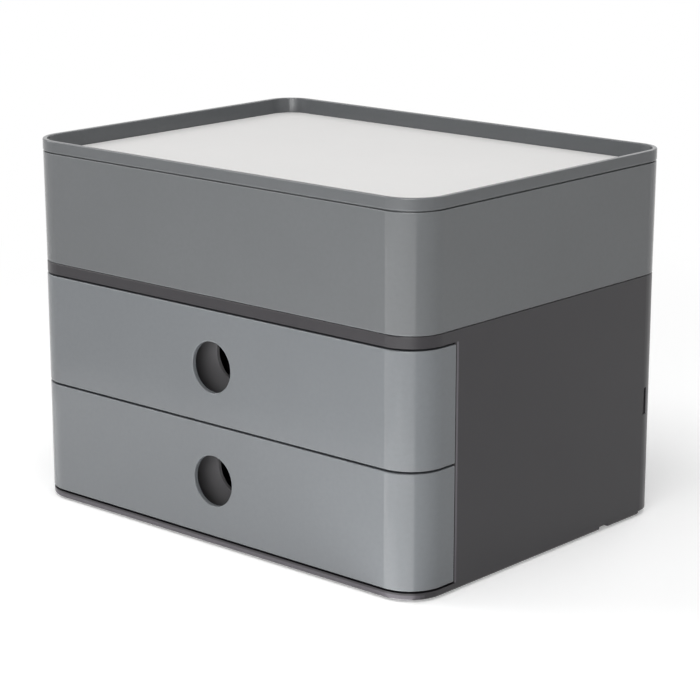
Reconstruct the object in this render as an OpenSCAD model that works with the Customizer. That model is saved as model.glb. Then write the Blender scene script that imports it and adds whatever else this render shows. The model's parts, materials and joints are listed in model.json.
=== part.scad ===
// Desktop drawer box: a cabinet with two drawers, a utensil box standing on it, and a lid that is a tray.
// Millimetres. The origin is the middle of the footprint, on the table; the drawers open towards -Y.

/* [Overall] */
// Width over the lid
body_w = 260; // [230:5:300]
// Depth over the lid
body_d = 195; // [180:5:240]
// Plan radius of the two front corners
front_r = 19; // [15:1:24]
// Plan radius of the two rear corners
rear_r = 16; // [14:1:20]

/* [Cabinet] */
// How far the cabinet's faces stand back from the lid's outline
cabinet_inset = 0.5; // [0.2:0.1:1]
// Thickness of the cabinet's walls and top deck
cabinet_wall = 2.4; // [2:0.2:3]
// Height of the band below the lower drawer front
base_band_h = 3.4; // [3:0.2:5]
// Height of the band above the upper drawer front
top_band_h = 5.7; // [5:0.1:8]
// Chamfer on the front edge of each side wall
side_bevel = 1.3; // [0.6:0.1:2]
// Radius of the cabinet's lower outer edge
base_edge_r = 1.2; // [0.6:0.1:1.6]
// Radius of the cabinet's upper outer edge
deck_edge_r = 0.5; // [0.3:0.1:1]
// Height of the land on the deck that centres the utensil box
land_h = 1.5; // [1:0.1:1.6]
// Height of the slot in each rear corner
slot_h = 14; // [10:1:20]
// Width of that slot
slot_w = 3; // [2:0.5:4]
// Depth of that slot
slot_deep = 0.7; // [0.4:0.1:1.2]
// Height of that slot's middle above the rim
slot_z = 60; // [40:5:90]

/* [Underside] */
// Height of the rim that runs round under the floor
rim_h = 1.8; // [1.4:0.1:2.2]
// Thickness of that rim
rim_t = 2.4; // [2:0.2:3.2]
// Length of rim left out at each rear corner
rear_gap_l = 16.5; // [15:0.5:22]
// Length of the rim tab in front of that gap
rim_tab_l = 26; // [20:1:32]
// Length of the notch in front of the tab
rim_notch_l = 7.5; // [5:0.5:12]
// Thickness of the ribs under the floor
rib_t = 1.6; // [1.2:0.2:2.4]
// Height of those ribs
rib_h = 1.2; // [0.8:0.1:1.4]
// Diameter of the rubber feet
foot_d = 14; // [10:1:18]
// How far the feet stand below the cabinet's rim
foot_proud = 1; // [0.6:0.1:2]
// Chamfer on the feet's lower edge
foot_chamfer = 0.4; // [0.2:0.1:0.6]
// Distance of the feet's middles from the cabinet's faces
foot_inset = 22; // [20:1:32]
// Thickness of the rings that hold the feet
foot_ring_t = 1.2; // [0.8:0.2:2]

/* [Drawer fronts] */
// Height of each drawer front
front_h = 56.7; // [50:0.1:70]
// How far the fronts stand back from the lid's outline
front_inset = 0.3; // [0.2:0.1:0.6]
// Wall thickness of the fronts
front_t = 2.2; // [1.8:0.1:2.6]
// How far a front wraps back along the sides
front_wrap = 28; // [24:1:36]
// Open gap round each drawer front
front_gap = 1; // [0.7:0.1:1.5]
// Radius of a front's upper and lower outer edges
front_edge_r = 0.6; // [0.3:0.1:0.9]
// Thickness of the ledge that closes a front at the top
ledge_t = 1.6; // [1.2:0.2:2.4]
// Diameter of the finger hole
hole_d = 25.6; // [20:0.2:30]
// Radius of the finger hole's outer edge
hole_edge_r = 0.6; // [0.3:0.1:1]

/* [Trays] */
// Height of the trays' side walls
tray_h = 50; // [40:1:51]
// Wall thickness of the trays
tray_t = 1.8; // [1.4:0.1:2.2]
// Floor thickness of the trays
tray_floor_t = 2; // [1.6:0.1:2.6]
// Plan radius of the trays' front corners
tray_front_r = 5; // [5:0.5:9]
// Radius along the trays' lower edges
tray_edge_r = 4; // [3:0.5:4.5]
// How far a tray's underside lies above its front's lower edge
tray_rise = 1.6; // [1:0.1:2.5]
// Distance from a front's face to the tray's front wall
tray_setback = 17.1; // [15:0.1:20]
// Diameter of the hole in a tray's front wall
inner_hole_d = 26; // [20:0.2:30]
// How much higher the inner hole sits than the finger hole
inner_hole_rise = 2.3; // [0:0.1:4]
// Width of the flange that rides in the rails
flange_w = 4.4; // [3.6:0.2:6]
// Thickness of that flange
flange_t = 2; // [1.6:0.1:2.6]
// Length of tray that stays on the rails when a drawer is fully out
tray_held = 25; // [22:1:60]

/* [Rails and stops] */
// Thickness of the rail ribs
rail_t = 2; // [1.6:0.2:2.4]
// Distance of the rails from the bevel of the side walls
rail_setback = 0.6; // [0.4:0.1:2]
// Width of the rib that guides a flange from above
guide_w = 3; // [2.6:0.1:3.6]
// Length of the tooth under the front of each rail
tooth_l = 4; // [3:0.5:6]
// Length of the lug on each side of a tray, which meets that tooth
lug_l = 5; // [4:0.5:7]
// Height of the lug
lug_h = 5; // [4:0.5:7]
// Distance of the rear buffers from the middle
buffer_x = 60; // [40:5:90]
// Width of the rear buffers
buffer_w = 4; // [3:0.5:6]
// Height of the rear buffers
buffer_h = 8; // [6:1:12]

/* [Clearances] */
// Side clearance between flange and cabinet wall
side_gap = 0.6; // [0.4:0.1:1]
// Clearance between a tray's wall and the rails
wall_gap = 0.8; // [0.6:0.1:1.2]
// Clearance below a flange in its rail
rail_gap = 0.3; // [0.2:0.05:0.5]
// Clearance above a flange in its rail
guide_gap = 0.5; // [0.3:0.1:0.8]
// Clearance behind a closed drawer
back_gap = 1.5; // [1:0.1:3]
// Clearance left at a drawer's stops
stop_gap = 0.4; // [0.3:0.05:0.6]
// Clearance round clips, lands and loose fits
fit_gap = 0.3; // [0.2:0.05:0.5]

/* [Front clips] */
// Distance of the clips from the middle
clip_x = 88; // [60:2:96]
// Height of each clip
clip_h = 8; // [6:1:10]
// Height of the lower clips' middle above a front's lower edge
clip_low_z = 15; // [12:1:18]
// Height of the upper clips' middle above a front's lower edge
clip_high_z = 41; // [36:1:43]
// Thickness of a clip's springy arm
clip_t = 1.6; // [1.2:0.1:2]
// Width of the stand beside the arm, which meets the tray's front wall
clip_stand = 2.4; // [1.6:0.2:4]
// How far the hook reaches sideways
hook_reach = 1.2; // [0.8:0.1:1.6]
// Length of the hook behind the tray's front wall
hook_l = 3.2; // [2.4:0.2:4]

/* [Utensil box] */
// Height of the utensil box
box_h = 56.7; // [45:0.1:80]
// How far its upper edge stands back from the lid's outline
box_inset = 0.1; // [0:0.1:0.4]
// Draft of its walls over their height
box_draft = 0.4; // [0.2:0.1:0.8]
// Thickness of its walls
box_wall = 2.6; // [2.2:0.1:3]
// Thickness of its floor
box_floor_t = 2.2; // [1.8:0.1:3]
// Width of the ring it stands on
box_ring_w = 6.5; // [6.3:0.1:9]
// Radius of its lower outer edge
box_edge_r = 0.8; // [0.4:0.1:1.2]
// Radius of its upper outer edge
box_top_r = 0.3; // [0.2:0.1:0.5]
// Radius along its floor inside
box_fillet_r = 2; // [1:0.5:3]
// Thickness of the lip that the lid sits in
lip_t = 1.1; // [0.9:0.1:1.3]

/* [Insert] */
// Height of the insert that divides the utensil box
insert_h = 30; // [20:1:42]
// Wall thickness of the insert
insert_t = 1.6; // [1.2:0.1:2]
// Clearance between the insert and the walls of the utensil box
insert_gap = 0.6; // [0.4:0.1:1]
// Radius along the insert's lower outer edges
insert_edge_r = 3; // [2.4:0.2:4]
// Thickness of the dividers
divider_t = 1.6; // [1.2:0.2:3]
// How far the dividers' tops lie below the insert's rim
divider_drop = 3; // [1:0.5:8]
// Depth of the pen trough
trough_d = 64; // [45:1:90]
// Width of the pocket behind it at the left
left_pocket_w = 82; // [60:1:90]
// Width of the two cups behind it at the right
cup_w = 82; // [60:1:90]
// Depth of the front cup
front_cup_d = 58; // [35:1:80]

/* [Lid] */
// Height of the lid's outer skirt
lid_h = 6; // [5:0.1:9]
// Open groove between the lid and the utensil box
lid_groove = 0.5; // [0.3:0.1:1]
// Thickness of the lid's rim at the top
rim_top_t = 2.4; // [2:0.1:3]
// How much thicker the rim grows down to the tray's floor
rim_draft = 0.8; // [0.7:0.1:1.2]
// Radius of the rim's two upper edges
rim_edge_r = 0.6; // [0.3:0.1:0.9]
// Radius of the skirt's lower edge
skirt_edge_r = 0.8; // [0.4:0.1:1.2]
// Depth from the rim down to the inlay
tray_depth = 8; // [7:0.1:10]
// Thickness of the lid's deck
lid_deck_t = 1.8; // [1.4:0.1:2.4]
// Thickness of the inlay
inlay_t = 1.5; // [1:0.1:2]
// Clearance round the inlay
inlay_gap = 0.25; // [0.15:0.05:0.4]
// Radius of the inlay's upper edge
inlay_edge_r = 0.3; // [0.2:0.1:0.6]

/* [Hidden] */
$fn = 96;
eps = 0.01;            // overlap that fuses two forms of one piece
past = 1;              // how far a cutter runs past the face it cuts
arc_steps = 4;         // straight steps in each small edge radius

// Cabinet, with its rim's lower edge at height 0
cab_w = body_w - 2 * cabinet_inset;
cab_d = body_d - 2 * cabinet_inset;
cab_front_r = front_r - cabinet_inset;
cab_rear_r = rear_r - cabinet_inset;
cab_h = base_band_h + 2 * front_h + 3 * front_gap + top_band_h;
cab_z = foot_proud;
bay_half_w = cab_w / 2 - cabinet_wall;
bay_back = cab_d / 2 - cabinet_wall;
slot_turn = 6;         // degrees round the corner at which the rear slots lie

// Drawer fronts, each with its lower edge at height 0
front_w = body_w - 2 * front_inset;
front_d = body_d - 2 * front_inset;
front_plan_r = front_r - front_inset;
front_face = -front_d / 2;
front_back = front_face + front_t;
front_end = front_face + front_wrap;
side_front = front_end + front_gap;
hole_z = front_h / 2;

// Trays, in the drawer front's frame
tray_front = front_face + tray_setback;
tray_wall_back = tray_front + tray_t;
tray_half_w = bay_half_w - side_gap - flange_w;
tray_back = bay_back - back_gap - flange_w;
tray_l = tray_back - tray_front;
tray_mid = (tray_back + tray_front) / 2;
corner_relief = 1;     // extra corner radius that keeps a flange clear of the cabinet's rear corners
tray_rear_r = cab_rear_r - cabinet_wall - flange_w + corner_relief;
flange_top = tray_rise + tray_h;
flange_bottom = flange_top - flange_t;
front_wall_top = front_h - ledge_t - fit_gap / 2;

// Rails and stops, in the same frame
rail_front = side_front + side_bevel + rail_setback;
rail_w = flange_w + side_gap - wall_gap;
rail_bottom = flange_bottom - rail_gap - rail_t;
guide_bottom = flange_top + guide_gap;
lug_w = flange_w - wall_gap;
tooth_h = lug_h + 2 * stop_gap;
travel = tray_back - rail_front - tray_held;
lug_front = rail_front + tooth_l + stop_gap + travel;

// Utensil box, with its lower edge at height 0
box_w = body_w - 2 * box_inset;
box_d = body_d - 2 * box_inset;
box_front_r = front_r - box_inset;
box_rear_r = rear_r - box_inset;
box_z = cab_z + cab_h;
box_floor_z = land_h + fit_gap;
box_floor_top = box_floor_z + box_floor_t;

// Insert
insert_edge = box_inset + box_draft + box_wall + insert_gap;
insert_w = body_w - 2 * insert_edge;
insert_d = body_d - 2 * insert_edge;
insert_front_r = front_r - insert_edge;
insert_rear_r = rear_r - insert_edge;
row_front = -insert_d / 2 + insert_t + trough_d + divider_t;
left_pocket_end = -insert_w / 2 + insert_t + left_pocket_w;
cup_start = insert_w / 2 - insert_t - cup_w;

// Lid, with its skirt's lower edge at height 0
lid_z = box_z + box_h + lid_groove;
inlay_top = lid_h - tray_depth;
deck_top = inlay_top - inlay_t;
deck_bottom = deck_top - lid_deck_t;
lip_h = -deck_bottom - lid_groove;
plug_edge = box_inset + lip_t + fit_gap;
rim_foot_t = rim_top_t + rim_draft;
deck_seam = 12;        // distance from the outline at which the deck's middle joins its swept edge

// Feet
foot_h = rim_h + foot_proud;
foot_x = cab_w / 2 - foot_inset;
foot_y = cab_d / 2 - foot_inset;

// ---- Shared forms ----

// Points on an arc about c, from angle a to angle b
function arc(c, r, a, b) =
    [for (i = [0 : arc_steps]) let (t = a + (b - a) * i / arc_steps) c + r * [cos(t), sin(t)]];

// Height of a drawer front's lower edge above the cabinet's rim: 0 is the lower drawer, 1 the upper
function drawer_z(i) = base_band_h + front_gap + i * (front_h + front_gap);

module both_sides() {
    for (side = [0, 1]) mirror([side, 0, 0]) children();
}

// Rounded rectangle in plan: front corners at -Y, rear corners at +Y
module plan(w, d, rf, rr) {
    translate([-w / 2, -d / 2 + rf]) square([w, d - rf - rr]);
    translate([-w / 2 + rf, -d / 2]) square([w - 2 * rf, rf + eps]);
    translate([-w / 2 + rr, d / 2 - rr - eps]) square([w - 2 * rr, rr + eps]);
    for (side = [-1, 1]) {
        translate([side * (w / 2 - rf), -d / 2 + rf]) circle(r = rf);
        translate([side * (w / 2 - rr), d / 2 - rr]) circle(r = rr);
    }
}

// The child profile swept round that rectangle: its x runs outward from the edge, its y upward
module swept(w, d, rf, rr) {
    rear = [w / 2 - rr, d / 2 - rr];
    front = [w / 2 - rf, d / 2 - rf];
    // Each corner's x, y and radius, and the length of the straight before it
    corners = [
        [rear[0], rear[1], rr, d - rf - rr],
        [-rear[0], rear[1], rr, w - 2 * rr],
        [-front[0], -front[1], rf, d - rf - rr],
        [front[0], -front[1], rf, w - 2 * rf]
    ];
    for (i = [0 : 3]) translate([corners[i][0], corners[i][1], 0]) rotate(90 * i) {
        r = corners[i][2];
        rotate_extrude(angle = 90) translate([r, 0]) children();
        translate([r, 0, 0]) rotate([90, 0, 0]) linear_extrude(corners[i][3]) children();
    }
}

// Cutter profiles for an outer edge of radius r at height 0: a lower edge, and an upper one
module lower_edge(r) {
    polygon(concat(arc([-r, r], r, -90, 0), [[past, r], [past, -past], [-r, -past]]));
}

module upper_edge(r) {
    mirror([0, 1]) lower_edge(r);
}

// Block with that plan and a rounded lower edge
module soft_block(w, d, rf, rr, h, r) {
    difference() {
        linear_extrude(h) plan(w, d, rf, rr);
        swept(w, d, rf, rr) lower_edge(r);
    }
}

// ---- Cabinet ----

// Cutter that opens the rim under the floor between two places along Y, with rounded lower corners
module rim_opening(y0, y1) {
    r = rim_h / 2;
    outline = concat(
        [[y0 - r, -past]], arc([y0 - r, r], r, -90, 0), [[y0, rim_h], [y1, rim_h]],
        arc([y1 + r, r], r, 180, 270), [[y1 + r, -past]]
    );
    both_sides() translate([cab_w / 2 - cab_rear_r - past, 0, 0])
        rotate([90, 0, 90]) linear_extrude(cab_rear_r + 2 * past) polygon(outline);
}

module rim_openings() {
    tab_back = cab_d / 2 - rear_gap_l;
    tab_front = tab_back - rim_tab_l;
    rim_opening(tab_back, cab_d / 2 + past);
    rim_opening(tab_front - rim_notch_l, tab_front);
}

// Shallow slot in each rear corner, just behind where the side wall starts to turn
module corner_slots() {
    both_sides() translate([cab_w / 2 - cab_rear_r, cab_d / 2 - cab_rear_r, slot_z]) rotate(slot_turn)
        translate([cab_rear_r - slot_deep, -slot_w / 2, -slot_h / 2])
            cube([slot_deep + past, slot_w, slot_h]);
}

module foot_places() {
    for (x = [-foot_x, foot_x], y = [-foot_y, foot_y]) translate([x, y, 0]) children();
}

// Ribs and foot rings under the floor
module underside_ribs() {
    seat_d = foot_d + 2 * fit_gap;
    rib_z = rim_h - rib_h;
    difference() {
        union() {
            for (x = [-1, 0, 1]) translate([x * foot_x / 2 - rib_t / 2, -cab_d / 2 + rim_t, rib_z])
                cube([rib_t, cab_d - 2 * rim_t, rib_h + eps]);
            for (y = [-1, 1]) translate([-cab_w / 2 + rim_t, y * foot_y / 2 - rib_t / 2, rib_z])
                cube([cab_w - 2 * rim_t, rib_t, rib_h + eps]);
            foot_places() cylinder(d = seat_d + 2 * foot_ring_t, h = rim_h + eps);
        }
        foot_places() translate([0, 0, -past]) cylinder(d = seat_d, h = rim_h + past);
    }
}

// The rails for one drawer: its flanges run between two ribs, and a tooth at each rib's front end stops it
module rails(i) {
    wall_mid = cabinet_wall / 2;
    translate([0, 0, drawer_z(i)]) {
        intersection() {
            both_sides() translate([bay_half_w, rail_front, 0]) {
                translate([-rail_w, 0, rail_bottom]) cube([rail_w + cabinet_wall, cab_d, rail_t]);
                translate([-guide_w, 0, guide_bottom]) cube([guide_w + cabinet_wall, cab_d, rail_t]);
                translate([-rail_w, 0, rail_bottom - tooth_h])
                    cube([rail_w + cabinet_wall, tooth_l, tooth_h + eps]);
            }
            linear_extrude(cab_h) plan(
                cab_w - 2 * wall_mid, cab_d - 2 * wall_mid, cab_front_r - wall_mid, cab_rear_r - wall_mid
            );
        }
        for (x = [-buffer_x, buffer_x])
            translate([x - buffer_w / 2, bay_back - back_gap + stop_gap, flange_bottom - buffer_h / 2])
                cube([buffer_w, back_gap - stop_gap + eps, buffer_h]);
    }
}

// The moulded body before its front is opened
module cabinet_walls() {
    difference() {
        linear_extrude(cab_h) plan(cab_w, cab_d, cab_front_r, cab_rear_r);
        translate([0, 0, base_band_h]) linear_extrude(cab_h - base_band_h - cabinet_wall)
            plan(2 * bay_half_w, 2 * bay_back, cab_front_r - cabinet_wall, cab_rear_r - cabinet_wall);
        translate([0, 0, -past]) linear_extrude(rim_h + past)
            plan(cab_w - 2 * rim_t, cab_d - 2 * rim_t, cab_front_r - rim_t, cab_rear_r - rim_t);
        swept(cab_w, cab_d, cab_front_r, cab_rear_r) lower_edge(base_edge_r);
        translate([0, 0, cab_h]) swept(cab_w, cab_d, cab_front_r, cab_rear_r) upper_edge(deck_edge_r);
        rim_openings();
        corner_slots();
    }
}

module cabinet_housing() {
    window_h = cab_h - base_band_h - top_band_h;
    land_in = box_inset + box_ring_w + fit_gap;
    color("#4b494b") translate([0, 0, cab_z]) difference() {
        union() {
            cabinet_walls();
            translate([0, 0, cab_h - eps]) linear_extrude(land_h + eps)
                plan(body_w - 2 * land_in, body_d - 2 * land_in, front_r - land_in, rear_r - land_in);
            underside_ribs();
            for (i = [0, 1]) rails(i);
        }
        translate([-cab_w / 2 - past, -cab_d / 2 - past, base_band_h])
            cube([cab_w + 2 * past, side_front + cab_d / 2 + past, window_h]);
        both_sides() translate([cab_w / 2, side_front, base_band_h]) linear_extrude(window_h) polygon([
            [-side_bevel, -past], [-side_bevel, 0], [0, side_bevel], [past, side_bevel], [past, -past]
        ]);
    }
}

module foot(x, y) {
    color("#222222") translate([x, y, 0]) {
        cylinder(d1 = foot_d - 2 * foot_chamfer, d2 = foot_d, h = foot_chamfer);
        translate([0, 0, foot_chamfer]) cylinder(d = foot_d, h = foot_h - foot_chamfer);
    }
}

// ---- Drawers: each is modelled with its front's lower edge at height 0 ----

module drawer_place(i) {
    translate([0, 0, cab_z + drawer_z(i)]) children();
}

module clip_places() {
    for (z = [clip_low_z, clip_high_z])
        both_sides() translate([clip_x, 0, z - clip_h / 2]) children();
}

// A clip: a stand that meets the tray's front wall, and a springy arm whose hook holds behind that wall
module clip() {
    seat = tray_wall_back + fit_gap / 2;
    land = hook_l / 5;
    tip_t = clip_t * 3 / 4;
    linear_extrude(clip_h) polygon([
        [-clip_stand, front_back - eps], [-clip_stand, tray_front], [0, tray_front], [0, seat + hook_l],
        [tip_t, seat + hook_l], [clip_t + hook_reach, seat + land], [clip_t + hook_reach, seat],
        [clip_t, seat], [clip_t, front_back - eps]
    ]);
}

// The plan outline of a drawer front, cut off straight at the depth y_end
module front_plan(y_end) {
    intersection() {
        plan(front_w, front_d, front_plan_r, front_plan_r);
        translate([-front_w, -front_d]) square([2 * front_w, front_d + y_end]);
    }
}

// Round hole whose outer edge is rounded, along +Z from the outer face
module finger_hole() {
    r = hole_d / 2;
    e = hole_edge_r;
    rotate_extrude() polygon(concat(
        [[0, -past], [r + e, -past]],
        arc([r + e, e], e, -90, -180),
        [[r, front_t + past], [0, front_t + past]]
    ));
}

module drawer_front() {
    inner_r = front_plan_r - front_t;
    color("#84898d") difference() {
        union() {
            linear_extrude(front_h) difference() {
                front_plan(front_end);
                plan(front_w - 2 * front_t, front_d - 2 * front_t, inner_r, inner_r);
            }
            translate([0, 0, front_h - ledge_t]) linear_extrude(ledge_t) front_plan(tray_wall_back);
            clip_places() clip();
        }
        swept(front_w, front_d, front_plan_r, front_plan_r) lower_edge(front_edge_r);
        translate([0, 0, front_h])
            swept(front_w, front_d, front_plan_r, front_plan_r) upper_edge(front_edge_r);
        translate([0, front_face, hole_z]) rotate([-90, 0, 0]) finger_hole();
    }
}

// Flange round a tray's sides and back
module tray_flange() {
    w = 2 * tray_half_w;
    translate([0, tray_mid, flange_bottom]) linear_extrude(flange_t) intersection() {
        plan(w + 2 * flange_w, tray_l + 2 * flange_w, tray_front_r, tray_rear_r + flange_w);
        translate([-w, -tray_l / 2]) square([2 * w, 2 * tray_l]);
    }
}

module drawer_tray() {
    w = 2 * tray_half_w;
    front_wall_z = tray_rise + tray_edge_r;
    color("#4b494b") difference() {
        union() {
            translate([0, tray_mid, tray_rise])
                soft_block(w, tray_l, tray_front_r, tray_rear_r, tray_h, tray_edge_r);
            tray_flange();
            translate([-tray_half_w + tray_front_r, tray_front, front_wall_z])
                cube([w - 2 * tray_front_r, tray_t, front_wall_top - front_wall_z]);
            both_sides() translate([tray_half_w - eps, lug_front, rail_bottom - stop_gap - lug_h])
                cube([lug_w + eps, lug_l, lug_h]);
        }
        translate([0, tray_mid, tray_rise + tray_floor_t]) soft_block(
            w - 2 * tray_t, tray_l - 2 * tray_t,
            tray_front_r - tray_t, tray_rear_r - tray_t, tray_h, tray_edge_r - tray_t
        );
        translate([0, tray_front - past, hole_z + inner_hole_rise]) rotate([-90, 0, 0])
            cylinder(d = inner_hole_d, h = tray_t + 2 * past);
        clip_places() translate([-fit_gap, tray_front - past, -fit_gap])
            cube([clip_t + hook_reach + 2 * fit_gap, tray_t + 2 * past, clip_h + 2 * fit_gap]);
    }
}

// ---- Utensil box ----

module utensil_box_shell() {
    lean = box_draft / box_h;
    bottom = -box_draft + lean * box_edge_r;
    ledge = box_h - lip_h;
    inner_top = -box_wall + lean * (ledge - box_h);
    inner_bottom = -box_wall + lean * (box_floor_top - box_h);
    color("#7d8286") translate([0, 0, box_z]) {
        swept(box_w, box_d, box_front_r, box_rear_r) polygon(concat(
            arc([bottom - box_edge_r, box_edge_r], box_edge_r, -90, 0),
            arc([-box_top_r, box_h - box_top_r], box_top_r, 0, 90),
            [[-lip_t, box_h], [-lip_t, ledge], [inner_top, ledge]],
            arc([inner_bottom - box_fillet_r, box_floor_top + box_fillet_r], box_fillet_r, 0, -90),
            [[-box_ring_w, box_floor_top], [-box_ring_w, 0]]
        ));
        translate([0, 0, box_floor_z]) linear_extrude(box_floor_t) plan(
            box_w - 2 * box_ring_w, box_d - 2 * box_ring_w, box_front_r - box_ring_w, box_rear_r - box_ring_w
        );
    }
}

// Block that reaches a distance t into the insert's walls and floor
module insert_block(t) {
    translate([0, 0, t]) soft_block(
        insert_w - 2 * t, insert_d - 2 * t, insert_front_r - t, insert_rear_r - t, insert_h, insert_edge_r - t
    );
}

// The insert's tray between two heights above its underside: its floor, or its walls
module insert_tray(z0, z1) {
    color("#6d7175") translate([0, 0, box_z + box_floor_top]) intersection() {
        difference() {
            soft_block(insert_w, insert_d, insert_front_r, insert_rear_r, insert_h, insert_edge_r);
            insert_block(insert_t);
        }
        translate([-insert_w, -insert_d, z0]) cube([2 * insert_w, 2 * insert_d, z1 - z0]);
    }
}

// A divider of the insert, from its left front corner, cut off where it meets the insert's walls and floor
module divider(x, y, w, d) {
    color("#6d7175") translate([0, 0, box_z + box_floor_top]) intersection() {
        insert_block(insert_t);
        translate([x, y, 0]) cube([w, d, insert_h - divider_drop]);
    }
}

// ---- Lid ----

module lid_frame() {
    color("#7d8286") translate([0, 0, lid_z]) {
        swept(body_w, body_d, front_r, rear_r) polygon(concat(
            arc([-skirt_edge_r, skirt_edge_r], skirt_edge_r, -90, 0),
            arc([-rim_edge_r, lid_h - rim_edge_r], rim_edge_r, 0, 90),
            arc([-rim_top_t + rim_edge_r, lid_h - rim_edge_r], rim_edge_r, 90, 180),
            [[-rim_foot_t, deck_top], [-deck_seam, deck_top], [-deck_seam, deck_bottom]],
            [[-plug_edge, deck_bottom], [-plug_edge, 0]]
        ));
        translate([0, 0, deck_bottom]) linear_extrude(lid_deck_t)
            plan(body_w - 2 * deck_seam, body_d - 2 * deck_seam, front_r - deck_seam, rear_r - deck_seam);
    }
}

module lid_inlay() {
    edge = rim_foot_t + inlay_gap;
    w = body_w - 2 * edge;
    d = body_d - 2 * edge;
    rf = front_r - edge;
    rr = rear_r - edge;
    color("#dad9d8") translate([0, 0, lid_z + deck_top]) difference() {
        linear_extrude(inlay_t) plan(w, d, rf, rr);
        translate([0, 0, inlay_t]) swept(w, d, rf, rr) upper_edge(inlay_edge_r);
    }
}

cabinet_housing();
foot(-foot_x, -foot_y);  // foot_front_left
foot(foot_x, -foot_y);  // foot_front_right
foot(-foot_x, foot_y);  // foot_rear_left
foot(foot_x, foot_y);  // foot_rear_right
drawer_place(0) drawer_tray();  // lower_drawer_tray
drawer_place(0) drawer_front();  // lower_drawer_front
drawer_place(1) drawer_tray();  // upper_drawer_tray
drawer_place(1) drawer_front();  // upper_drawer_front
utensil_box_shell();
insert_tray(0, insert_t);  // insert_floor
insert_tray(insert_t, insert_h);  // insert_walls
divider(-insert_w / 2, row_front - divider_t, insert_w, divider_t);  // insert_divider_front
divider(left_pocket_end, row_front, divider_t, insert_d);  // insert_divider_left
divider(cup_start - divider_t, row_front, divider_t, insert_d);  // insert_divider_right
divider(cup_start, row_front + front_cup_d, insert_w, divider_t);  // insert_divider_cups
lid_frame();
lid_inlay();
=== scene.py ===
"""Studio scene for the desktop drawer box: its materials, the floor, the light and the camera."""
import json
import math

import bpy
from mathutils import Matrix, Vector


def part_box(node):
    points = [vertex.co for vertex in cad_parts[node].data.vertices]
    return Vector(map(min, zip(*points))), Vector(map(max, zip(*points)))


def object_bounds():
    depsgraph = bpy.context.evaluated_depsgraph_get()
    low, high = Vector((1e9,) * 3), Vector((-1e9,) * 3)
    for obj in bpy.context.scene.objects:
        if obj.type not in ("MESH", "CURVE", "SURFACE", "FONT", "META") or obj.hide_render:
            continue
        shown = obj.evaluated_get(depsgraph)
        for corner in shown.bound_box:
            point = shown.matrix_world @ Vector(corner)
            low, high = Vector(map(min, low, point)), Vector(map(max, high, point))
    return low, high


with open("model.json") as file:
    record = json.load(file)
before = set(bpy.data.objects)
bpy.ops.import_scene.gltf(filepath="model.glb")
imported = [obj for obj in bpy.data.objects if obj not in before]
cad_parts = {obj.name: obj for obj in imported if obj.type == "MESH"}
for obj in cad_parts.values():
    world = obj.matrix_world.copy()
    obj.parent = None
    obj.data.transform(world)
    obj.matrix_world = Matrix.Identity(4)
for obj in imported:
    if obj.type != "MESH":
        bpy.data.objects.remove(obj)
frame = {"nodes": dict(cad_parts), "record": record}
cad_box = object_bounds()

MM = 0.001
WHITE = (1.0, 1.0, 1.0, 1.0)

# ---- Camera: the photograph's viewing angle ----

CAMERA_TARGET = Vector((3.47, 0.0, 82.0)) * MM
CAMERA_DISTANCE = 1202.5 * MM
CAMERA_AZIMUTH = math.radians(41.75)
CAMERA_ELEVATION = math.radians(14.54)
SENSOR_WIDTH = 36.0            # mm
FOCAL_LENGTH = 120.3           # mm

# ---- Base colours: red, green and blue, as screen values from 0 to 255 ----

FRONT_PLASTIC = (104, 107, 110)
# The box and the lid are of the fronts' plastic; their darker colours are painted shade, for the dimmer
# light and reflections they get higher up
BOX_PLASTIC_PAINTED_DARKER = (91, 93, 95)
LID_PLASTIC_PAINTED_DARKER = (89, 91, 93)
DARK_PLASTIC = (42, 40, 43)
TRAY_PLASTIC = (116, 115, 117)
INSERT_PLASTIC = (92, 95, 98)
INLAY_PLATE = (225, 224, 223)
FOOT_RUBBER = (26, 26, 27)
FLOOR_COLOUR = (242, 242, 242)


def linear(rgb):
    """The scene-linear colour, with alpha, of those screen values."""
    def channel(value):
        value /= 255
        return value / 12.92 if value <= 0.04045 else ((value + 0.055) / 1.055) ** 2.4
    return (*[channel(value) for value in rgb], 1.0)


def toned(rgb, factor):
    """That colour made lighter or darker by a factor, in linear light."""
    return (*[min(1.0, value * factor) for value in linear(rgb)[:3]], 1.0)


# ---- Material nodes ----

# An edge's lighter tone, partly wearing and partly painted highlight, starts and is full at these cosines of
# the angle between its rounded and its true normal
WEAR_AND_HIGHLIGHT_STARTS = 0.97
WEAR_AND_HIGHLIGHT_FULL = 0.86


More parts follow.
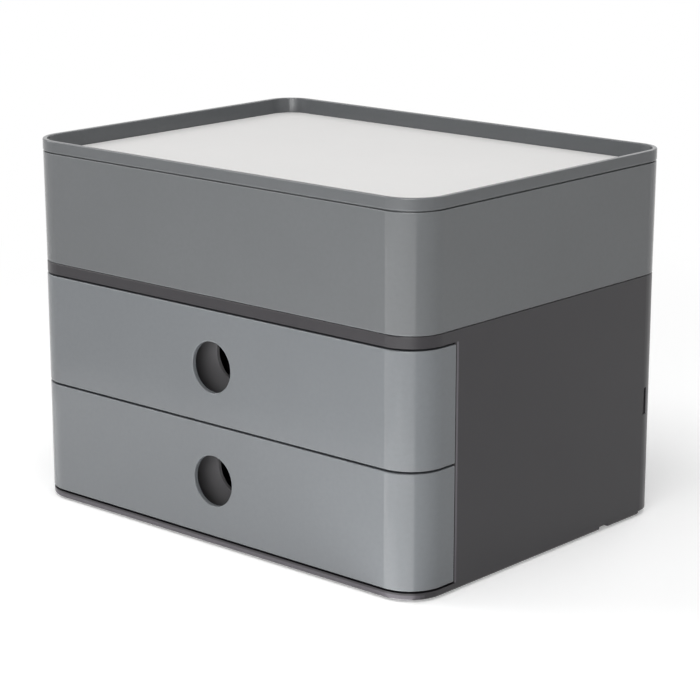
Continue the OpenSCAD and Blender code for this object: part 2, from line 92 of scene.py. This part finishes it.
class Nodes:
    """The node tree of a material or of the world, with short ways to add and link its nodes."""

    def __init__(self, owner):
        owner.use_nodes = True
        self.tree = owner.node_tree

    def named(self, name):
        """A node that the tree starts with, such as its shader or its output."""
        return self.tree.nodes[name]

    def add(self, kind, settings=None, ordered=(), **inputs):
        """A node of that kind, with its settings, and its inputs set or linked in their order or by name."""
        node = self.tree.nodes.new(kind)
        for name, value in (settings or {}).items():
            setattr(node, name, value)
        for socket, value in zip(node.inputs, ordered):
            self.feed(socket, value)
        for name, value in inputs.items():
            self.feed(node.inputs[name.replace("_", " ")], value)
        return node

    def feed(self, socket, value):
        """Links an output to the socket, or sets the socket to a plain value."""
        if isinstance(value, bpy.types.NodeSocket):
            self.tree.links.new(value, socket)
        else:
            socket.default_value = value

    def place(self):
        """A point's place in the object's frame, in metres."""
        return self.add("ShaderNodeTexCoord").outputs["Object"]

    def component(self, vector, name):
        """One of a vector's components, X, Y or Z."""
        return self.add("ShaderNodeSeparateXYZ", Vector=vector).outputs[name]

    def noise(self, size, detail=3.0, roughness=0.5):
        """Noise from 0 to 1 whose features are about size metres wide."""
        node = self.add("ShaderNodeTexNoise", Vector=self.place(), Scale=1 / size, Detail=detail,
                        Roughness=roughness)
        return node.outputs["Fac"]

    def ranged(self, value, from_min, from_max, to_min, to_max, interpolation="LINEAR"):
        """value carried over from one range to another, held to its ends."""
        node = self.add("ShaderNodeMapRange", {"interpolation_type": interpolation}, Value=value,
                        From_Min=from_min, From_Max=from_max, To_Min=to_min, To_Max=to_max)
        return node.outputs["Result"]

    def mixed(self, factor, colour_a, colour_b):
        """Colour a at factor 0, colour b at factor 1."""
        node = self.add("ShaderNodeMix", {"data_type": "RGBA"})
        self.feed(node.inputs[0], factor)
        self.feed(node.inputs[6], colour_a)
        self.feed(node.inputs[7], colour_b)
        return node.outputs[2]

    def maths(self, operation, *values):
        """The result of a Math node."""
        return self.add("ShaderNodeMath", {"operation": operation}, values).outputs[0]

    def edges(self, radius):
        """1 along outer edges and 0 on flat faces, from how far the rounded normal leans off the true."""
        rounded = self.add("ShaderNodeBevel", {"samples": 4}, Radius=radius).outputs["Normal"]
        true = self.add("ShaderNodeNewGeometry").outputs["Normal"]
        lean = self.add("ShaderNodeVectorMath", {"operation": "DOT_PRODUCT"}, (rounded, true))
        return self.ranged(lean.outputs["Value"], WEAR_AND_HIGHLIGHT_STARTS, WEAR_AND_HIGHLIGHT_FULL, 0.0, 1.0)

    def bumped(self, height, distance, **under):
        """A normal bumped by a height from 0 to 1 over that distance, on top of Normal where it is given."""
        node = self.add("ShaderNodeBump", Height=height, Distance=distance, Strength=1.0, **under)
        return node.outputs["Normal"]

    def seen_directly(self):
        """1 for rays from the camera, reflections and transmissions, 0 for those that light a surface."""
        rays = self.add("ShaderNodeLightPath").outputs
        seen = self.maths("MAXIMUM", rays["Is Camera Ray"], rays["Is Glossy Ray"])
        return self.maths("MAXIMUM", seen, rays["Is Transmission Ray"])


# ---- Materials ----

NOISE_SPAN = (0.3, 0.7)        # where most of a noise's values lie

# What varies a plastic face, by size
CLOUD_SIZE = 70 * MM           # slow drift of its tone
SMEAR_SIZE = 26 * MM           # smears that change its gloss
WAVE_SIZE = 14 * MM            # unevenness of the moulding
FLECK_SIZE = 2.2 * MM          # fine specks, which also break up the lighter edges
FLECK_SPAN = (0.35, 0.75)      # noise values over which a speck builds up
FLECK_SHARE = 0.5              # how far a speck goes to its own tone
WEAR_AND_HIGHLIGHT_RADIUS = 0.8 * MM           # radius of the lighter edges, partly wearing and partly painted highlight
WEAR_AND_HIGHLIGHT_SPAN = (0.3, 0.6)         # noise values over which the lighter edge tone goes from half to full
WEAR_AND_HIGHLIGHT_TONE = 2.2                # how much lighter a full edge is, wearing and painted highlight together
PLASTIC_IOR = 1.57


def plastic(name, colour, gloss, grain, grain_depth, wave=0.0, mottle=0.03, wear_and_highlight=0.25, sheen=0.35):
    """Moulded plastic.

    gloss is the lowest and highest roughness, and sheen the strength of its reflections; grain and
    grain_depth are the width and height of its fine texture, and wave the height of a moulded face's slow
    unevenness; mottle is the share by which its tone wanders, and wear_and_highlight how far its edges turn
    lighter, partly as wearing and partly as a painted highlight.
    """
    material = bpy.data.materials.new(name)
    nodes = Nodes(material)
    shader = nodes.named("Principled BSDF").inputs
    cloud = nodes.ranged(nodes.noise(CLOUD_SIZE, 4.0, 0.6), *NOISE_SPAN, 0.0, 1.0)
    clouded = nodes.mixed(cloud, toned(colour, 1 - mottle), toned(colour, 1 + mottle))
    fleck = nodes.noise(FLECK_SIZE, 2.0)
    speck = nodes.ranged(fleck, *FLECK_SPAN, 0.0, FLECK_SHARE)
    flecked = nodes.mixed(speck, clouded, toned(colour, 1 - 2 * mottle))
    # edges turn lighter: partly wearing, partly a painted highlight where light catches them
    broken = nodes.ranged(fleck, *WEAR_AND_HIGHLIGHT_SPAN, 0.5 * wear_and_highlight, wear_and_highlight)
    wear_and_highlight_mask = nodes.maths("MULTIPLY", nodes.edges(WEAR_AND_HIGHLIGHT_RADIUS), broken)
    nodes.feed(shader["Base Color"], nodes.mixed(wear_and_highlight_mask, flecked, toned(colour, WEAR_AND_HIGHLIGHT_TONE)))
    smears = nodes.noise(SMEAR_SIZE, 5.0, 0.65)
    nodes.feed(shader["Roughness"], nodes.ranged(smears, *NOISE_SPAN, *gloss))
    normal = nodes.bumped(nodes.noise(grain, 2.0), grain_depth)
    if wave:
        normal = nodes.bumped(nodes.noise(WAVE_SIZE, 1.0), wave, Normal=normal)
    nodes.feed(shader["Normal"], normal)
    nodes.feed(shader["IOR"], PLASTIC_IOR)
    nodes.feed(shader["Specular IOR Level"], sheen)
    return material


# The cabinet's front lip and side bevels, and how much painted highlight and painted shade they get
LIP_HEIGHT = 3.4 * MM          # the lip's painted reflection reaches up to here above the table
LIP_BLEND = 0.2 * MM
BEVEL = 1.3 * MM
BEVEL_BLEND = 0.1 * MM
FORWARD_SPAN = (-0.4, -0.7)    # a face counts as turned forward between these Y values of its normal
# how much lighter the painted highlight on the lip and the bevels' outer half is, and how much darker the
# painted shade in the crease
PAINTED_HIGHLIGHT_TONE = 3.8
PAINTED_CREASE_SHADE_TONE = 0.4


def paint_lip_and_bevel_light(material, colour):
    """Paints a highlight on the cabinet's lip and the outer half of its side bevels, and shade on their
    inner half.

    The lip is the front of the base band. Its lighter tone is a painted reflection of the bright table
    before it, the bevels' outer half a painted highlight, and their darker crease painted shade.
    """
    nodes = Nodes(material)
    base = nodes.named("Principled BSDF").inputs["Base Color"]
    plain = base.links[0].from_socket
    place = nodes.place()
    facing = nodes.component(nodes.add("ShaderNodeNewGeometry").outputs["True Normal"], "Y")
    forward = nodes.ranged(facing, *FORWARD_SPAN, 0.0, 1.0)
    low = nodes.ranged(nodes.component(place, "Z"), LIP_HEIGHT, LIP_HEIGHT + LIP_BLEND, 1.0, 0.0)
    lip = nodes.maths("MULTIPLY", forward, low)
    side = nodes.maths("ABSOLUTE", nodes.component(place, "X"))
    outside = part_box("cabinet_housing")[1].x
    inner_edge = outside - BEVEL
    middle = outside - 0.5 * BEVEL
    beyond = nodes.ranged(side, inner_edge, inner_edge + BEVEL_BLEND, 0.0, 1.0)
    bevel = nodes.maths("MULTIPLY", forward, beyond)
    outer_half = nodes.ranged(side, middle, middle + 0.1 * BEVEL, 0.0, 1.0)
    # painted shade in the bevels' inner half, then a painted highlight on the lip and on their outer half
    painted_crease_shade = nodes.mixed(bevel, plain, toned(colour, PAINTED_CREASE_SHADE_TONE))
    painted_highlight = nodes.maths("MAXIMUM", lip, nodes.maths("MULTIPLY", bevel, outer_half))
    nodes.feed(base, nodes.mixed(painted_highlight, painted_crease_shade, toned(colour, PAINTED_HIGHLIGHT_TONE)))


# Rubber's dusty bloom and fine pores
BLOOM_SIZE = 3 * MM
BLOOM_SPAN = (0.4, 0.7)
BLOOM_TONE = 2.5
PORE_SIZE = 0.3 * MM
PORE_DEPTH = 0.03 * MM
RUBBER_ROUGHNESS = (0.75, 0.9)


def rubber(name, colour):
    """Matt rubber with a dusty bloom and fine pores."""
    material = bpy.data.materials.new(name)
    nodes = Nodes(material)
    shader = nodes.named("Principled BSDF").inputs
    bloom = nodes.ranged(nodes.noise(BLOOM_SIZE, 5.0, 0.7), *BLOOM_SPAN, 0.0, 1.0)
    nodes.feed(shader["Base Color"], nodes.mixed(bloom, linear(colour), toned(colour, BLOOM_TONE)))
    nodes.feed(shader["Roughness"], nodes.ranged(bloom, 0.0, 1.0, *RUBBER_ROUGHNESS))
    nodes.feed(shader["Normal"], nodes.bumped(nodes.noise(PORE_SIZE, 2.0), PORE_DEPTH))
    return material


# What the satin grey shells share, and the textured dark ones
# The satin shells' edges are made much lighter, as a painted highlight along them as well as wearing
SATIN = {"gloss": (0.12, 0.16), "grain": 0.3 * MM, "grain_depth": 0.0005 * MM, "wave": 0.009 * MM,
         "wear_and_highlight": 0.6}
TEXTURED = {"grain": 0.45 * MM, "sheen": 0.3}

MATERIALS = {
    "cabinet_plastic": plastic("dark_textured_plastic", DARK_PLASTIC, (0.28, 0.36), grain_depth=0.004 * MM,
                               **TEXTURED),
    "tray_plastic": plastic("tray_plastic", TRAY_PLASTIC, (0.35, 0.45), grain_depth=0.006 * MM, **TEXTURED),
    "front_plastic": plastic("grey_front_plastic", FRONT_PLASTIC, **SATIN),
    "box_plastic": plastic("grey_box_plastic_painted_darker", BOX_PLASTIC_PAINTED_DARKER, **SATIN, sheen=0.43),
    "lid_plastic": plastic("grey_lid_plastic_painted_darker", LID_PLASTIC_PAINTED_DARKER, **SATIN),
    "insert_plastic": plastic("insert_plastic", INSERT_PLASTIC, (0.4, 0.5), 0.4 * MM, 0.006 * MM),
    "inlay_plastic": plastic("inlay_plate", INLAY_PLATE, (0.6, 0.7), 0.5 * MM, 0.004 * MM,
                             mottle=0.008, wear_and_highlight=0.05, sheen=0.25),
    "foot_rubber": rubber("foot_rubber", FOOT_RUBBER),
}
paint_lip_and_bevel_light(MATERIALS["cabinet_plastic"], DARK_PLASTIC)


def dress(frame):
    """Gives every node the material of its slot in the record."""
    slots = {part["node"]: part["material_slot"] for part in frame["record"]["subparts"]}
    for name, node in frame["nodes"].items():
        node.material_slots[0].material = MATERIALS[slots[name]]


# ---- Surroundings ----

FLOOR_SIZE = 24.0              # m
FLOOR_DROP = 0.02 * MM         # keeps the floor clear of the feet
FLOOR_GLOW = 0.3               # added for the camera and for reflections, so that the open floor is white
FLOOR_WHITE_FROM = 0.3         # m from the middle: beyond it the floor turns into the white background
FLOOR_WHITE_BY = 0.7           # m
WORLD_LIGHT = 0.2


def floor_material():
    """A matt pale floor that keeps the object's shadow and turns into the white background farther off."""
    material = bpy.data.materials.new("floor")
    nodes = Nodes(material)
    nodes.tree.nodes.remove(nodes.named("Principled BSDF"))
    seen = nodes.seen_directly()
    matt = nodes.add("ShaderNodeBsdfDiffuse", Color=linear(FLOOR_COLOUR)).outputs[0]
    glow = nodes.add("ShaderNodeEmission", Strength=nodes.maths("MULTIPLY", seen, FLOOR_GLOW)).outputs[0]
    near = nodes.add("ShaderNodeAddShader", ordered=(matt, glow)).outputs[0]
    place = nodes.add("ShaderNodeNewGeometry").outputs["Position"]
    distance = nodes.add("ShaderNodeVectorMath", {"operation": "LENGTH"}, (place,)).outputs["Value"]
    fade = nodes.ranged(distance, FLOOR_WHITE_FROM, FLOOR_WHITE_BY, 0.0, seen, "SMOOTHSTEP")
    backdrop = nodes.add("ShaderNodeEmission").outputs[0]
    whole = nodes.add("ShaderNodeMixShader", ordered=(fade, near, backdrop)).outputs[0]
    nodes.feed(nodes.named("Material Output").inputs["Surface"], whole)
    return material


def add_floor():
    bpy.ops.mesh.primitive_plane_add(size=FLOOR_SIZE, location=(0, 0, -FLOOR_DROP))
    floor = bpy.context.object
    floor.name = "floor"
    floor.data.materials.append(floor_material())


def add_world():
    world = bpy.data.worlds.new("studio")
    nodes = Nodes(world)
    background = nodes.named("Background").inputs
    nodes.feed(background["Color"], WHITE)
    nodes.feed(background["Strength"], nodes.ranged(nodes.seen_directly(), 0.0, 1.0, WORLD_LIGHT, 1.0))
    bpy.context.scene.world = world


# Each softbox: azimuth and elevation in degrees, distance, width and height in metres, power in watts
SOFTBOXES = {
    "front": (20.0, 14.0, 1.3, 0.5, 0.5, 2.2),
    "camera_side": (36.0, 14.0, 1.3, 0.5, 0.5, 4.4),
    "left": (-60.0, 35.0, 1.5, 0.8, 0.8, 7.4),
    "overhead": (30.0, 66.0, 1.2, 0.8, 0.8, 5.9),
    "back": (180.0, 45.0, 1.4, 0.8, 0.8, 4.5),
}

# Light panels in the table top, which the rounded front corners mirror: side in metres and power in watts.
# They share a corner under the object's front right corner, from which one side runs off at an azimuth.
PANELS = {"near_panel": (0.26, 0.17), "wide_panel": (0.9, 3.2)}
PANEL_CORNER = Vector((120.0, -88.3, 0.5)) * MM
PANEL_AZIMUTH = math.radians(-38)

# A light strip in the table top before the fronts, like the shine of a white table
STRIP_PLACE = Vector((-90.0, -190.0, 0.5)) * MM
STRIP_WIDTH = 0.42             # m
STRIP_DEPTH = 0.18             # m
STRIP_POWER = 0.12             # W


def towards(azimuth, elevation):
    """The direction at that azimuth, 0 in front and positive to the right, and elevation, in radians."""
    level = math.cos(elevation)
    return Vector((level * math.sin(azimuth), -level * math.cos(azimuth), math.sin(elevation)))


def aim(thing, place, target):
    """Puts a lamp or camera at a place, turned to a target."""
    thing.location = place
    thing.rotation_euler = (target - place).to_track_quat("-Z", "Y").to_euler()


def add_lamp(name, width, height, power):
    """A rectangular lamp that the camera doesn't see."""
    lamp = bpy.data.lights.new(name, "AREA")
    lamp.shape = "RECTANGLE"
    lamp.size = width
    lamp.size_y = height
    lamp.energy = power
    thing = bpy.data.objects.new(name, lamp)
    thing.visible_camera = False
    bpy.context.collection.objects.link(thing)
    return thing


def add_softboxes():
    low, high = cad_box
    middle = (low + high) / 2
    for name, (azimuth, elevation, distance, width, height, power) in SOFTBOXES.items():
        place = middle + distance * towards(math.radians(azimuth), math.radians(elevation))
        aim(add_lamp(name, width, height, power), place, middle)


def lay(panel, middle, turn=0.0):
    """Puts a light panel face up in the table top, turned about the vertical."""
    panel.location = middle
    panel.rotation_euler = (math.pi, 0.0, turn)


def add_panels():
    along = towards(PANEL_AZIMUTH, 0.0)
    across = towards(PANEL_AZIMUTH + math.pi / 2, 0.0)
    for name, (side, power) in PANELS.items():
        middle = PANEL_CORNER + (along + across) * side / 2
        lay(add_lamp(name, side, side, power), middle, math.atan2(along.y, along.x))
    lay(add_lamp("front_strip", STRIP_WIDTH, STRIP_DEPTH, STRIP_POWER), STRIP_PLACE)


def add_camera():
    camera = bpy.data.objects.new("camera", bpy.data.cameras.new("camera"))
    camera.data.sensor_width = SENSOR_WIDTH
    camera.data.lens = FOCAL_LENGTH
    bpy.context.collection.objects.link(camera)
    place = CAMERA_TARGET + CAMERA_DISTANCE * towards(CAMERA_AZIMUTH, CAMERA_ELEVATION)
    aim(camera, place, CAMERA_TARGET)
    bpy.context.scene.camera = camera


add_camera()
dress(frame)
add_floor()
add_world()
add_softboxes()
add_panels()
bpy.context.scene.view_settings.view_transform = "Standard"
